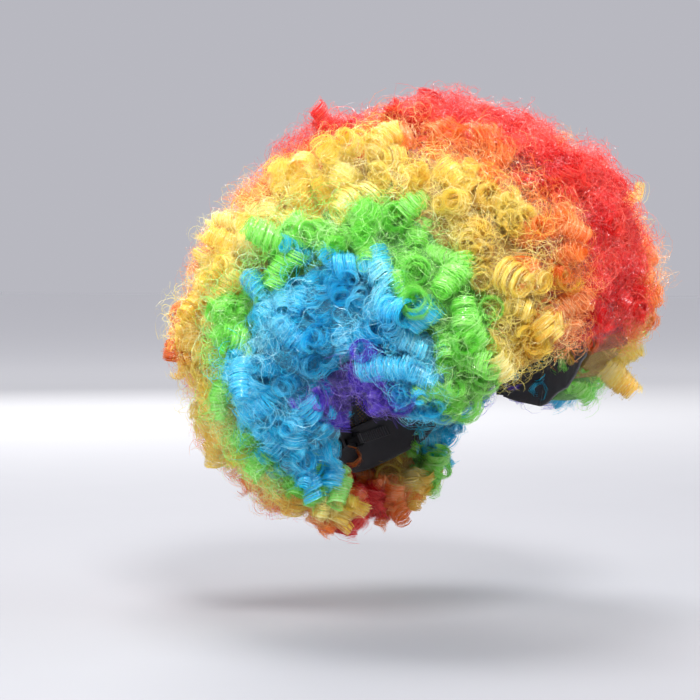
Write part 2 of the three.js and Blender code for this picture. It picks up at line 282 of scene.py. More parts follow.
class HairSpace:
    """The inside and outside of the hair, and its edges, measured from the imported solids."""

    RING_RANGE = (9.3, 171.0)
    RING_STEP = 2.0
    TURN_RANGE = (-18.0, 262.0)
    TURN_STEP = 3.0
    FAR = 0.5  # further out than any hair
    THINNEST = 0.004  # less hair than this counts as none

    def __init__(self, head):
        self.head = head
        self.rings = np.arange(*self.RING_RANGE, self.RING_STEP)
        self.turns = np.arange(*self.TURN_RANGE, self.TURN_STEP)
        tree = self._tree()
        shape = (len(self.rings), len(self.turns))
        inner, outer = np.full(shape, np.nan), np.full(shape, np.nan)
        start = Vector(head.centre)
        for i, ring in enumerate(self.rings):
            for j, turn in enumerate(self.turns):
                way = Vector(head.ways(ring, turn))
                near = tree.ray_cast(start, way)[3]
                far = tree.ray_cast(start + way * self.FAR, -way)[3]
                if near is not None and far is not None and self.FAR - far > near + self.THINNEST:
                    inner[i, j], outer[i, j] = near, self.FAR - far
        self.front, self.back = self._edges(outer)
        self.inner, self.outer = self._filled(inner), self._filled(outer)
        self.bands = self._bands()

    @staticmethod
    def _tree():
        points, faces = [], []
        for name in hair_nodes():
            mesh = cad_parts[name].data
            start = len(points)
            points += [v.co.copy() for v in mesh.vertices]
            faces += [[start + i for i in p.vertices] for p in mesh.polygons]
        return BVHTree.FromPolygons(points, faces)

    def _edges(self, outer):
        front, back = [], []
        for row in outer:
            held = np.flatnonzero(~np.isnan(row))
            front.append(self.turns[held[0]] if len(held) else np.nan)
            back.append(self.turns[held[-1]] if len(held) else np.nan)
        rings = np.arange(len(self.rings))
        edges = []
        for values in (front, back):
            values = np.array(values)
            known = ~np.isnan(values)
            values = np.interp(rings, rings[known], values[known])
            edges.append(np.convolve(np.pad(values, 1, "edge"), (0.25, 0.5, 0.25), "valid"))
        return edges

    @staticmethod
    def _filled(grid):
        """Each gap takes the nearest value along its own ring, and then from the next ring."""
        grid = grid.copy()
        for row in grid:
            known = np.flatnonzero(~np.isnan(row))
            if len(known):
                row[:] = np.interp(np.arange(len(row)), known, row[known])
        rows = np.arange(len(grid))
        known = ~np.isnan(grid[:, 0])
        for column in grid.T:
            column[:] = np.interp(rows, rows[known], column[known])
        return grid

    def _bands(self):
        """For each node of hair, its lowest and highest ring."""
        bands = {}
        for name in hair_nodes():
            ring = self.head.read(node_points(name))[0]
            bands[name] = (ring.min(), ring.max())
        return bands

    def _rows(self, ring):
        return (np.asarray(ring) - self.rings[0]) / self.RING_STEP

    def depth(self, ring, turn):
        """Distances from the row centre to the inside and the outside."""
        row, column = self._rows(ring), (np.asarray(turn) - self.turns[0]) / self.TURN_STEP
        return blend_over(self.inner, row, column), blend_over(self.outer, row, column)

    def edges(self, ring):
        rows = np.arange(len(self.rings))
        return np.interp(self._rows(ring), rows, self.front), np.interp(self._rows(ring), rows, self.back)

    def node_at(self, ring):
        """The node of hair whose rings hold this one, or come nearest to it."""

        def outside(name):
            low, high = self.bands[name]
            return abs(ring - (low + high) / 2) - (high - low) / 2

        return min(self.bands, key=outside)


def ripples(points, wavelength, seed, count=7):
    """A smooth random value at each point, about from -1 to 1."""
    rng = np.random.default_rng(seed)
    ways = rng.normal(size=(count, 3))
    ways /= np.linalg.norm(ways, axis=1)[:, None]
    waves = ways * (2 * math.pi / wavelength) * rng.uniform(0.7, 1.4, (count, 1))
    phases = rng.uniform(0, 2 * math.pi, count)
    return np.sin(points @ waves.T + phases).sum(-1) / math.sqrt(count / 2) / 1.4


def unit(vectors):
    return vectors / np.maximum(np.linalg.norm(vectors, axis=-1), 1e-9)[..., None]


# ---- Making meshes ----


def show(name, data):
    """Puts a mesh, light or camera in the scene."""
    made = bpy.data.objects.new(name, data)
    bpy.context.scene.collection.objects.link(made)
    return made


def piece_of(mesh, material):
    mesh.materials.append(material)
    piece = show(mesh.name, mesh)
    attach(piece, CAP_BODY)
    return piece


def add_piece(name, points, faces, material, slot):
    """A mesh piece on the cap, from corner points and faces of four corners."""
    mesh = bpy.data.meshes.new(name)
    mesh.vertices.add(len(points))
    mesh.vertices.foreach_set("co", np.asarray(points, np.float32).ravel())
    faces = np.asarray(faces, np.int32)
    mesh.loops.add(faces.size)
    mesh.loops.foreach_set("vertex_index", faces.ravel())
    mesh.polygons.add(len(faces))
    mesh.polygons.foreach_set("loop_start", np.arange(0, faces.size, faces.shape[1], dtype=np.int32))
    mesh.update(calc_edges=True)
    mesh.polygons.foreach_set("use_smooth", np.ones(len(faces), bool))
    return piece_of(mesh, material)


def add_values(piece, name, values):
    attribute = piece.data.attributes.new(name, "FLOAT", "POINT")
    attribute.data.foreach_set("value", np.asarray(values, np.float32).ravel())


def add_uv(piece, uv_at_points):
    """Gives a mesh its own unwrapping, from a place for each point."""
    mesh = piece.data
    index = np.zeros(len(mesh.loops), np.int32)
    mesh.loops.foreach_get("vertex_index", index)
    layer = mesh.uv_layers.new(name="OFBake")
    layer.data.foreach_set("uv", np.asarray(uv_at_points, np.float32)[index].ravel())


TONE_DRIFT = 0.16  # how far the tone wanders from place to place
TONE_WAVE = 0.045
TONE_SEED = 31
MAP_WIDTH = (0.02, 0.98)
MAP_FOOT = 0.01
MAP_HEIGHT = 0.965
MAP_FIBRE = 0.014


def add_fibres(name, lines, across, widths, tones, material, slot):
    """Flat fibres from their lines, the way that each point is widened, and a tone for each fibre.

    The map's height is the tone, which is all that a fibre's colour depends on.
    """
    count, length = lines.shape[:2]
    half = across * (widths / 2)[..., None]
    points = np.stack((lines - half, lines + half), 2).reshape(-1, 3)
    base = np.arange(count)[:, None] * length * 2 + np.arange(length - 1)[None, :] * 2
    faces = np.stack((base, base + 1, base + 3, base + 2), -1).reshape(-1, 4)
    piece = add_piece(name, points, faces, material, slot)
    drift = TONE_DRIFT * ripples(lines.reshape(-1, 3), TONE_WAVE, TONE_SEED).reshape(count, length)
    tone = np.repeat(np.clip(tones[:, None] + drift, 0, 1)[..., None], 2, axis=2)
    add_values(piece, "tone", tone)
    u = np.broadcast_to(np.linspace(*MAP_WIDTH, length)[None, :, None], tone.shape)
    v = MAP_FOOT + MAP_HEIGHT * tone + np.array((0.0, MAP_FIBRE))
    add_uv(piece, np.stack((u, v), -1).reshape(-1, 2))
    return piece


# ---- Hair materials ----


def hair_material(settings, colour):
    """Shiny curled fibre, and light passes through it: each fibre has its own tone, which runs from a painted
    shade colour through the plain colour to a painted highlight colour.
    """
    graph = Graph(colour + "_fibre")
    painted_shade, bright, painted_light = (getattr(settings, colour + suffix) for suffix in SHADES)
    # Painted shade at tone 0, the plain colour at 0.45 and a painted highlight at 1.
    stops = ((0.0, colour4(painted_shade)), (0.45, colour4(bright)), (1.0, colour4(painted_light)))
    inputs = {
        "Base Color": graph.ramp(graph.attribute("tone"), stops),
        "Roughness": 0.26 + 0.14 * graph.noise(300.0, 1.0),
        "Specular IOR Level": 0.7,
        "Coat Weight": 0.7,
        "Coat Roughness": 0.13,
        "Sheen Weight": 0.15,
        "Sheen Roughness": 0.4,
    }
    gloss = graph.principled(inputs)
    through = graph.node("ShaderNodeBsdfTranslucent", None, {"Color": colour4(bright, 1.15)})[0]
    mixed = graph.node("ShaderNodeMixShader", None, {0: settings.translucency, 1: gloss, 2: through})[0]
    return graph.finish(mixed)


def mass_material(settings, colour):
    """The tangle under the ringlets: the same fibre, packed and in shade."""
    graph = Graph(colour + "_mass")
    painted_shade, bright = getattr(settings, colour + "_deep"), getattr(settings, colour)
    where = graph.place()
    bent = graph.node("ShaderNodeVectorMath", {"operation": "ADD"}, {0: where, 1: _warp(graph, where)})[0]
    threads = graph.node("ShaderNodeTexWave", {"wave_type": "RINGS"}, {
        "Vector": bent, "Scale": 240.0, "Distortion": 22.0, "Detail": 4.0, "Detail Scale": 2.6})[1]
    fine = graph.noise(900.0, 3.0)
    light = (threads * 0.6 + fine * 0.4).smooth(0.25, 0.8)
    inputs = {
        # Painted shade: both colours are the fibre's shade and plain colours, darkened further.
        "Base Color": graph.mix(light, colour4(painted_shade, 0.6), colour4(bright, 0.85)),
        "Roughness": 0.45 + 0.2 * fine,
        "Normal": graph.bump(light, 0.0016, 0.9),
        "Sheen Weight": 0.3,
    }
    return graph.finish(graph.principled(inputs))


def _warp(graph, where):
    colours = graph.node("ShaderNodeTexNoise", None, {"Vector": where, "Scale": 60.0, "Detail": 2.0})[1]
    return graph.node("ShaderNodeVectorMath", {"operation": "SCALE"}, {0: colours, "Scale": 0.02})[0]


_materials = {}


def material_for(make, settings, *colour):
    """The material that make gives, made once for each colour."""
    key = (make.__name__, *colour)
    if key not in _materials:
        _materials[key] = make(settings, *colour)
    return _materials[key]


def colour_of(node):
    return node.split("_")[0]


# ---- Ringlets ----

COLOUR_MIX = 1.6  # degrees that the colours run into each other
SKIN = 0.003  # depth under the solids' outside at which the hair's outside lies
BULK_MIDDLE = np.array((0.0, 0.009, 0.030))  # of the ellipsoid that the whole hair is nearest to
BULK_SEMI = np.array((0.152, 0.171, 0.149))
COIL_STEPS = 7  # straight steps to a turn of a coil
LEAD_STEPS = 4  # steps from the root to the coil
MOST_TURNS = 4  # in the longest ringlet
MOST_FACES = 90000  # of four corners, in one piece


class Ringlets:
    """The places, ways and sizes of a set of ringlets, as arrays with one row for each."""

    KEYS = ("node", "root", "middle", "axis", "radius", "length", "turns", "loose")

    def __init__(self):
        self.rows = {key: [] for key in self.KEYS}

    def add(self, **values):
        for key, column in self.rows.items():
            column.append(values[key])

    def __getattr__(self, key):
        return np.array(self.rows[key])


def outer_lumps(points, settings):
    """How far the outside of the hair stands in or out at points."""
    broad = ripples(points, 0.075, settings.seed + 1)
    fine = ripples(points, 0.034, settings.seed + 2)
    return settings.lumps * (broad + 0.6 * fine)


HOLLOW = 0.008


def back_hollow(ring, turn):
    """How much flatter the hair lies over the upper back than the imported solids."""
    return HOLLOW * np.exp(-(((turn - 128) / 26) ** 2)) * np.exp(-(((ring - 90) / 42) ** 4))


def tuft_way(points, normals, settings):
    """Which way the ringlets of a tuft lie over the surface."""
    wild = np.stack([ripples(points, 0.055, settings.seed + k) for k in (3, 4, 5)], -1)
    return unit(wild - (wild * normals).sum(-1)[..., None] * normals)


ROW_RANGE = (10.0, 170.0)  # degrees, the rings that hold ringlets
RING_LIMITS = (9.5, 170.5)  # as far as a ringlet may stray
HAIR_REACH = 0.155  # from the row centre to the outside
EDGE_REACH = 0.15  # the same at the front and back edges
EDGE_MARGIN = 0.012  # the ringlets of an edge stand in from it by this, times one of the next
JITTER = 0.45  # of the distance between two ringlets
FACE_RINGS = (34, 146)  # the rings between which the edges are the brow and the nape
FACE_MARGINS = (1.9, 0.2)  # at the front and the back
EAR_MARGINS = (1.5, 1.1)


def over_surface(space, settings, rng, ringlets):
    """Ringlets over the whole outside, in jittered rows."""
    row_angle = math.degrees(settings.spacing / HAIR_REACH)
    for ring in np.arange(*ROW_RANGE, row_angle):
        front, back = space.edges(ring)
        around = HAIR_REACH * math.sin(math.radians(ring))
        step = math.degrees(settings.spacing / around)
        for turn in np.arange(front + rng.uniform(0, step), back, step):
            at_ring = ring + rng.normal(0, JITTER * row_angle)
            at_turn = turn + rng.normal(0, JITTER * step)
            at_ring = min(max(at_ring, RING_LIMITS[0]), RING_LIMITS[1])
            edge = math.degrees(EDGE_MARGIN / (EDGE_REACH * math.sin(math.radians(at_ring))))
            brow, nape = FACE_MARGINS if FACE_RINGS[0] < at_ring < FACE_RINGS[1] else EAR_MARGINS
            at_turn = min(max(at_turn, front + brow * edge), back - nape * edge)
            add_ringlet(space, settings, rng, ringlets, at_ring, at_turn)


EDGE_LAYERS = (0.09, 0.26, 0.46, 0.7)  # shares of the thickness that the curls of an edge stand at
EDGE_RANGE = (11.0, 169.5)  # degrees
INNER_REACH = 0.085  # from the row centre to the inside of the hair
THICKNESS = 0.065
EDGE_INSET = 0.007
BROW_INSET = 0.012  # more for the outer curls of the front edge
EDGE_LENGTHS = (0.012, 0.024)
EDGE_RADII = (0.6, 0.95)  # of the curl radius
EDGE_DOWN = np.array((0.0, 0.0, 0.35))


def along_edges(space, settings, rng, ringlets):
    """Short curls under the front, ear and nape edges, which close the underside of the hair."""
    head = space.head
    for share_out in EDGE_LAYERS:
        reach = INNER_REACH + THICKNESS * share_out
        for ring in np.arange(*EDGE_RANGE, math.degrees(settings.spacing / reach)):
            front, back = space.edges(ring)
            around = reach * math.sin(math.radians(ring))
            margin = math.degrees(EDGE_INSET / around)
            brow = math.degrees((EDGE_INSET + BROW_INSET * share_out) / around)
            for turn, inward in ((front + brow, 1), (back - margin, -1)):
                ring_at = ring + rng.normal(0, 2.0)
                turn_at = turn + inward * abs(rng.normal(0, margin * 0.5)) + inward * share_out * margin
                ring_at = min(max(ring_at, ROW_RANGE[0]), ROW_RANGE[1])
                way = head.ways(ring_at, turn_at)
                inner, outer = space.depth(ring_at, turn_at)
                tuft = rng.normal(0, 0.6, 3) - EDGE_DOWN
                length = rng.uniform(*EDGE_LENGTHS)
                ringlets.add(
                    node=space.node_at(float(straight_ring(ring_at, turn_at)) + rng.normal(0, COLOUR_MIX)),
                    root=head.centre + head.ways(ring_at, turn_at + 2 * inward) * (inner + SKIN),
                    middle=head.centre + way * (inner + share_out * (outer - inner)),
                    axis=unit(way * 0.7 + tuft),
                    radius=settings.curl_radius * rng.uniform(*EDGE_RADII),
                    length=length,
                    turns=length / settings.curl_pitch + 0.8,
                    loose=1.0,
                )


CURL_LENGTHS = (0.014, 0.032)
RADIUS_SPREAD = 0.15
RADIUS_LIMITS = (0.65, 1.35)
FLAT_SHARE = 0.6  # of the ringlets lie along the outside, and the others stand out from it
FLAT_LEAN = (0.0, 0.9)
STANDING_LEAN = (1.2, 3.0)
DEPTH_SHARES = (0.13, 0.5, 0.37)  # of the ringlets stand proud, lie in the outside, and lie under it
PROUD = (-0.006, -0.002)
UNDER = (0.004, 0.013)
DEEPEST = 0.8  # of the thickness
ROOT_DEPTH = 0.25  # of the thickness, out from the inside


def add_ringlet(space, settings, rng, ringlets, ring, turn):
    """One ringlet, whose coil lies about the outside of the hair."""
    head = space.head
    way = head.ways(ring, turn)
    inner, outer = space.depth(ring, turn)
    middle = head.centre + way * outer
    normal = unit((middle - BULK_MIDDLE) / BULK_SEMI**2)
    outer = outer - SKIN - back_hollow(ring, turn) + outer_lumps(middle[None], settings)[0]
    radius = settings.curl_radius * float(np.clip(rng.normal(1.0, RADIUS_SPREAD), *RADIUS_LIMITS))
    length = rng.uniform(*CURL_LENGTHS)
    down = np.array((0.0, 0.0, -1.0))
    down = down - normal * (down @ normal)
    tuft = tuft_way(middle[None], normal[None], settings)[0]
    lean = rng.uniform(*FLAT_LEAN) if rng.random() < FLAT_SHARE else rng.uniform(*STANDING_LEAN)
    axis = normal * lean + tuft * rng.uniform(0.2, 1.1) + down * rng.uniform(0.1, 0.7)
    axis = unit(axis + rng.normal(0, 0.35, 3))
    stand = abs(axis @ normal) * length / 2 + radius * math.sqrt(max(0.0, 1 - (axis @ normal) ** 2))
    thickness = outer - inner
    depths = rng.uniform(*PROUD), abs(rng.normal(0, 0.003)), rng.uniform(*UNDER)
    depth = min(rng.choice(depths, p=DEPTH_SHARES) + stand, DEEPEST * thickness)
    ringlets.add(
        node=space.node_at(float(straight_ring(ring, turn)) + rng.normal(0, COLOUR_MIX)),
        root=head.centre + way * (inner + ROOT_DEPTH * thickness),
        middle=head.centre + way * (outer - depth),
        axis=axis,
        radius=radius,
        length=length,
        turns=length / settings.curl_pitch + rng.uniform(0.6, 1.1),
        loose=rng.uniform(0.5, 1.5),
    )


LOOSE_CURLS = (
    # ring of its colour, ring, turn, distance past the outside, way of the axis, radius, length
    (64.0, 66.0, 168.0, 0.002, (0.1, 0.1, 0.9), 0.0105, 0.012),
    (66.0, 70.0, 160.0, 0.000, (0.5, 0.3, 0.6), 0.0095, 0.016),
    (52.0, 60.0, 196.0, 0.001, (0.2, 0.3, -0.9), 0.0085, 0.026),
    (52.0, 54.0, 240.0, -0.010, (0.1, 0.1, -1.0), 0.0070, 0.034),
    (86.0, 76.0, 238.0, -0.006, (0.5, -0.4, -0.7), 0.0090, 0.022),
    (92.0, 88.0, 236.0, -0.006, (-0.4, -0.3, -0.8), 0.0085, 0.022),
    (28.0, 27.0, -3.0, -0.016, (0.5, -0.8, -0.1), 0.0055, 0.022),
    (28.0, 33.0, -2.0, -0.012, (-0.8, -0.4, 0.2), 0.0080, 0.012),
    (38.0, 39.0, 1.0, -0.004, (-0.85, -0.5, 0.1), 0.0095, 0.012),
    (40.0, 44.0, 12.0, 0.002, (-0.8, -0.5, 0.2), 0.0100, 0.014),
    (40.0, 34.0, 44.0, 0.003, (-0.8, -0.4, 0.3), 0.0095, 0.018),
    (52.0, 128.0, 16.0, 0.003, (0.3, -0.8, 0.3), 0.0090, 0.022),
    (64.0, 120.0, 24.0, 0.004, (-0.5, -0.7, 0.2), 0.0095, 0.018),
    (54.0, 124.0, 6.0, 0.002, (0.4, -0.5, -0.6), 0.0090, 0.024),
)


def hang_loose_curls(space, settings, ringlets):
    """The single curls that stand clear of the rest or have strayed into the next colour."""
    head = space.head
    for tint_ring, ring, turn, out, axis, radius, length in LOOSE_CURLS:
        way = head.ways(ring, turn)
        inner, outer = space.depth(ring, turn)
        ringlets.add(
            node=space.node_at(tint_ring if ring < 90 else 180 - tint_ring),
            root=head.centre + way * (inner + 0.4 * (outer - inner)),
            middle=head.centre + way * (outer + out - 0.6 * radius),
            axis=unit(np.array(axis)),
            radius=radius,
            length=length,
            turns=length / settings.curl_pitch + 0.9,
            loose=0.8,
        )


NARROW_SHARE = 0.12  # of the ringlets are wound from narrow locks
STRAY_SHARE = 0.1  # of the fibres leave their lock
BROAD_PART = 5  # one fibre in this many is broad, and lies flat under the others
TIP_SHARE = 0.3  # of the fibres turn in at the tip
LIT_SHARE = 0.34  # of the fibres are painted pale, as highlights
PATH_BEND = 0.004
SWELL = 0.00035  # how far fibres stand off the coil
BROAD_SWELL = -0.0005
RIPPLE = 0.0003


def wound_lines(ringlets, chosen, settings, rng):
    """The chosen ringlets' fibres: their lines, the ways that they are widened, their widths and tones."""
    mine = (getattr(ringlets, key)[chosen] for key in Ringlets.KEYS[1:])
    root, middle, axis, radius, length, turns, loose = mine
    count, fibres = len(chosen), settings.fibres
    shape = (count, fibres)
    coil_steps = int(round(COIL_STEPS * turns.mean()))
    steps = LEAD_STEPS + coil_steps
    s = np.concatenate((np.linspace(-1, 0, LEAD_STEPS, endpoint=False), np.linspace(0, 1, coil_steps)))
    lead, coil = np.clip(-s, 0, 1), np.clip(s, 0, 1)

    # The middle line of each ringlet, from its root along the coil.
    side = unit(np.cross(axis, rng.normal(size=(count, 3))))
    over = np.cross(axis, side)
    start = middle - axis * (length / 2)[:, None]
    path = start[:, None] + axis[:, None] * (length[:, None] * coil)[..., None]
    bow = side * rng.normal(0, PATH_BEND, (count, 1)) + over * rng.normal(0, PATH_BEND, (count, 1))
    path = path + bow[:, None] * (4 * (coil - 0.5) ** 2)[None, :, None]
    path = path + (root - start)[:, None] * (lead**1.4)[None, :, None]

    # Where each fibre lies in its lock.
    narrow = rng.random((count, 1)) < NARROW_SHARE
    lock = (length / turns)[:, None] * np.where(narrow, 0.6, 1.0)
    slide = rng.uniform(-0.5, 0.5, shape) * lock
    stray = rng.random(shape) < STRAY_SHARE
    slide = slide * np.where(stray, 1.8, 1.0)
    swell = rng.normal(0, SWELL, shape) * np.where(stray, 4.5, 1.0) * loose[:, None]
    broad_fibres = fibres // BROAD_PART
    order = np.arange(fibres)[None, :]
    broad = order < broad_fibres
    slide = np.where(broad, ((order + 0.5) / broad_fibres - 0.5) * lock, slide)
    drift = rng.normal(0, 0.2, shape) * lock
    swell = np.where(broad, BROAD_SWELL, swell)

    # The coil.
    wave = rng.uniform(0, 2 * math.pi, shape)
    rate = rng.uniform(0.6, 2.4, shape)
    turned = (turns[:, None] * coil * 2 * math.pi)[:, None, :] - 1.4 * lead
    turned = turned + rng.normal(0, 0.25, shape)[..., None]
    turned = turned + rng.uniform(0, 2 * math.pi, count)[:, None, None]
    ripple = np.sin(turned * rate[..., None] + wave[..., None])
    open_up = (1 - 0.9 * lead) * (1 - 0.35 * coil**3)
    tip_in = 1 - 0.25 * (rng.random(shape) < TIP_SHARE)[..., None] * coil**2
    reach = radius[:, None, None] + swell[..., None] + ripple * RIPPLE * loose[:, None, None]
    out = np.cos(turned)[..., None] * side[:, None, None] + np.sin(turned)[..., None] * over[:, None, None]
    lines = path[:, None] + out * (reach * open_up * tip_in)[..., None]
    slide = slide[..., None] * (1 - 0.7 * lead) + drift[..., None] * np.sin(turned * 0.37)
    lines = lines + axis[:, None, None] * slide[..., None]

    # Widths and tones. The tones paint light and shade: the pale fibres are painted highlights, and the broad
    # fibres, which lie under the others, take lower tones, nearer the painted shade.
    roll = rng.normal(0, np.where(broad, 0.06, 0.28), shape)[..., None, None]
    across = np.cos(roll) * axis[:, None, None] + np.sin(roll) * out
    width = settings.fibre_width * rng.uniform(0.7, 1.3, shape)[..., None] * (1 - 0.6 * coil**8)
    width = width * np.where(broad, np.where(narrow, 1.6, 2.8), 1.0)[..., None]
    lit = rng.random(shape) < LIT_SHARE
    tone = np.where(lit, rng.uniform(0.7, 1.0, shape), rng.normal(0.46, 0.12, shape))
    tone = tone + rng.normal(0, 0.1, (count, 1))
    tone = np.clip(np.where(broad, rng.normal(0.38, 0.1, shape), tone), 0, 1)
    flat = (count * fibres, steps)
    return lines.reshape(*flat, 3), across.reshape(*flat, 3), width.reshape(flat), tone.reshape(-1)


def split_evenly(items, most):
    parts = max(1, math.ceil(len(items) / most))
    return np.array_split(items, parts)


# ---- The mass under the ringlets ----

MASS_SHARE = 0.66  # of the hair's thickness
MASS_STEP = 1.6  # degrees
MASS_INSET = 5.0  # degrees, from the front and back edges
MASS_COLUMNS = 150
MASS_LUMPS = 0.0035

_spaces = []


def hair_space(context):
    if not _spaces:
        _spaces.append(HairSpace(Head(context.scene.wig_head)))
    return _spaces[0]


def packed_mass(space, settings, node, material):
    """The lumpy block of tangle that fills the inner part of a colour's band."""
    low, high = space.bands[node]
    rings = np.linspace(low, high, max(4, round((high - low) / MASS_STEP)))
    front, back = space.edges(rings)
    share_back = np.linspace(0, 1, MASS_COLUMNS)
    turns = front[:, None] + MASS_INSET + (back - front - 2 * MASS_INSET)[:, None] * share_back
    ring_grid = bowed_ring(np.broadcast_to(rings[:, None], turns.shape), turns)
    inner, outer = space.depth(ring_grid, turns)
    ways = space.head.ways(ring_grid, turns)
    top = inner + MASS_SHARE * (outer - inner - back_hollow(ring_grid, turns))
    skin = space.head.centre + ways * top[..., None]
    bumps = ripples(skin, 0.022, settings.seed + 8) + 0.6 * ripples(skin, 0.011, settings.seed + 9)
    top = np.clip(top + MASS_LUMPS * bumps, inner + SKIN, outer)
    layers = np.stack((inner + 0.0005, inner + 0.5 * (top - inner), top))
    points = space.head.centre + ways[None] * layers[..., None]
    index = np.arange(points[..., 0].size).reshape(points.shape[:3])
    sheets = [(index[2], False), (index[0], True), (index[:, 0], False), (index[:, -1], True)]
    sheets += [(index[:, :, 0], True), (index[:, :, -1], False)]
    faces = []
    for grid, flip in sheets:
        quad = np.stack((grid[:-1, :-1], grid[1:, :-1], grid[1:, 1:], grid[:-1, 1:]), -1).reshape(-1, 4)
        faces.append(quad[:, ::-1] if flip else quad)
    used, corners = np.unique(np.concatenate(faces), return_inverse=True)
    name = node.replace("_hair", "_mass")
    return add_piece(name, points.reshape(-1, 3)[used], corners.reshape(-1, 4), material, kind_of(node))


# ---- Frizz ----

FRIZZ_STEPS = 14  # points in a fibre
FRIZZ_SHARE = {"purple": 0.5, "blue": 0.6, "green": 0.75, "yellow": 0.9, "orange": 1.1, "red": 1.5}
FRIZZ_INSET = 3  # degrees, from the front and back edges
FRIZZ_DEPTHS = (-0.001, 0.013)  # under the outside, where the fibres start
FRIZZ_RADII = (0.002, 0.008)
FRIZZ_RISES = (0.003, 0.016)
CRIMPS = (0.0002, 0.0007)


def frizz_lines(space, settings, rng, low, high, count):
    """Loose fibres between two rings, each a crimped arc, as wound_lines gives them."""
    head = space.head
    ring = rng.uniform(low, high, count)
    front, back = space.edges(ring)
    turn = front + FRIZZ_INSET + (back - front - 2 * FRIZZ_INSET) * rng.random(count)
    ring = bowed_ring(ring, turn)
    ways = head.ways(ring, turn)
    _, outer = space.depth(ring, turn)
    skin = head.centre + ways * outer[:, None]
    outer = outer - SKIN - back_hollow(ring, turn) + outer_lumps(skin, settings)
    start = head.centre + ways * (outer - rng.uniform(*FRIZZ_DEPTHS, count))[:, None]
    axis = unit(ways * rng.uniform(-0.2, 0.8, (count, 1)) + rng.normal(0, 0.7, (count, 3)))
    side = unit(np.cross(axis, rng.normal(size=(count, 3))))
    over = np.cross(axis, side)
    t = np.linspace(0, 1, FRIZZ_STEPS)
    turns = rng.uniform(0.3, 1.5, count)
    radius = rng.uniform(*FRIZZ_RADII, count)
    rise = rng.uniform(*FRIZZ_RISES, count)
    turned = turns[:, None] * 2 * math.pi * t + rng.uniform(0, 2 * math.pi, count)[:, None]
    grow = (1 + rng.normal(0, 0.35, (count, 1)) * t)[..., None]
    round_part = radius[:, None, None] * grow * (
        np.cos(turned)[..., None] * side[:, None] + np.sin(turned)[..., None] * over[:, None]
    )
    crimp = np.sin(rng.uniform(4, 9, (count, 1)) * math.pi * t + rng.uniform(0, 6.3, (count, 1)))
    crimp = (crimp * rng.uniform(*CRIMPS, (count, 1)))[..., None] * unit(rng.normal(size=(count, 1, 3)))
    lines = start[:, None] + axis[:, None] * (rise[:, None] * (t - 0.3))[..., None] + round_part + crimp
    across = unit(np.cross(np.gradient(lines, axis=1), rng.normal(size=(count, 1, 3))))
    width = settings.frizz_width * rng.uniform(0.6, 1.4, (count, 1)) * (1 - 0.5 * t**4)
    # The loose fibres mostly take high tones: painted highlights on the thin fibres.
    tone = np.clip(rng.normal(0.66, 0.24, count), 0, 1)
    return lines, across, width, tone


# ---- Cap ----

NET_NODES = ("crown_net", "side_net_right", "side_net_left")
CLOTH_NODES = ("front_band", "nape_band", "ear_tab_right", "ear_tab_left", "centre_ribbon", "cross_ribbon")
CLOTH_STEP = 0.0035  # longest edge of a cloth piece
PUCKER = 0.00012  # how far cloth stands in and out
PUCKER_WAVE = 0.012
PUCKER_SEED = 21


def kind_of(node):
    """The record's material slot of a node."""
    if "_hair" in node:
        return colour_of(node) + "_hair"
    for word, kind in KINDS:
        if word in node:
            return kind
    raise ValueError(f"{node} has no known cloth or fitting")


KINDS = (
    ("net", "net"), ("ribbon", "ribbon"), ("band", "band"), ("tab", "band"), ("weft", "weft_tape"),
    ("label", "label"), ("hook", "hook_plastic"),
    ("binding", "elastic"), ("strap", "elastic"), ("loops", "elastic"),
)


def spread_out(head, points, side):
    """Distances over the head, from the ear for a side panel, and from the middle for the others."""
    ring, turn, _ = head.read(points)
    reach = head.semi[1]
    if side:
        from_ear = np.radians(np.where(ring > 90, 180 - ring, ring)) * reach
        return from_ear * np.cos(np.radians(turn)), from_ear * np.sin(np.radians(turn))
    return np.radians(ring - 90) * head.semi[0], np.radians(turn) * reach


def head_at(head, u, v, node):
    """The rings and turns of places spread out by spread_out."""
    reach = head.semi[1]
    if by_the_ear(node):
        ring, turn = np.degrees(np.hypot(u, v) / reach), np.degrees(np.arctan2(v, u))
        return (180 - ring if "left" in node else ring), np.where(turn < -60, turn + 360, turn)
    return 90 + np.degrees(u / head.semi[0]), np.degrees(v / reach)


def by_the_ear(node):
    return "side_net" in node or "ear_tab" in node


def puckered(head, points):
    depth = PUCKER * ripples(points, PUCKER_WAVE, PUCKER_SEED)
    return points + unit(points - head.centre) * depth[:, None]


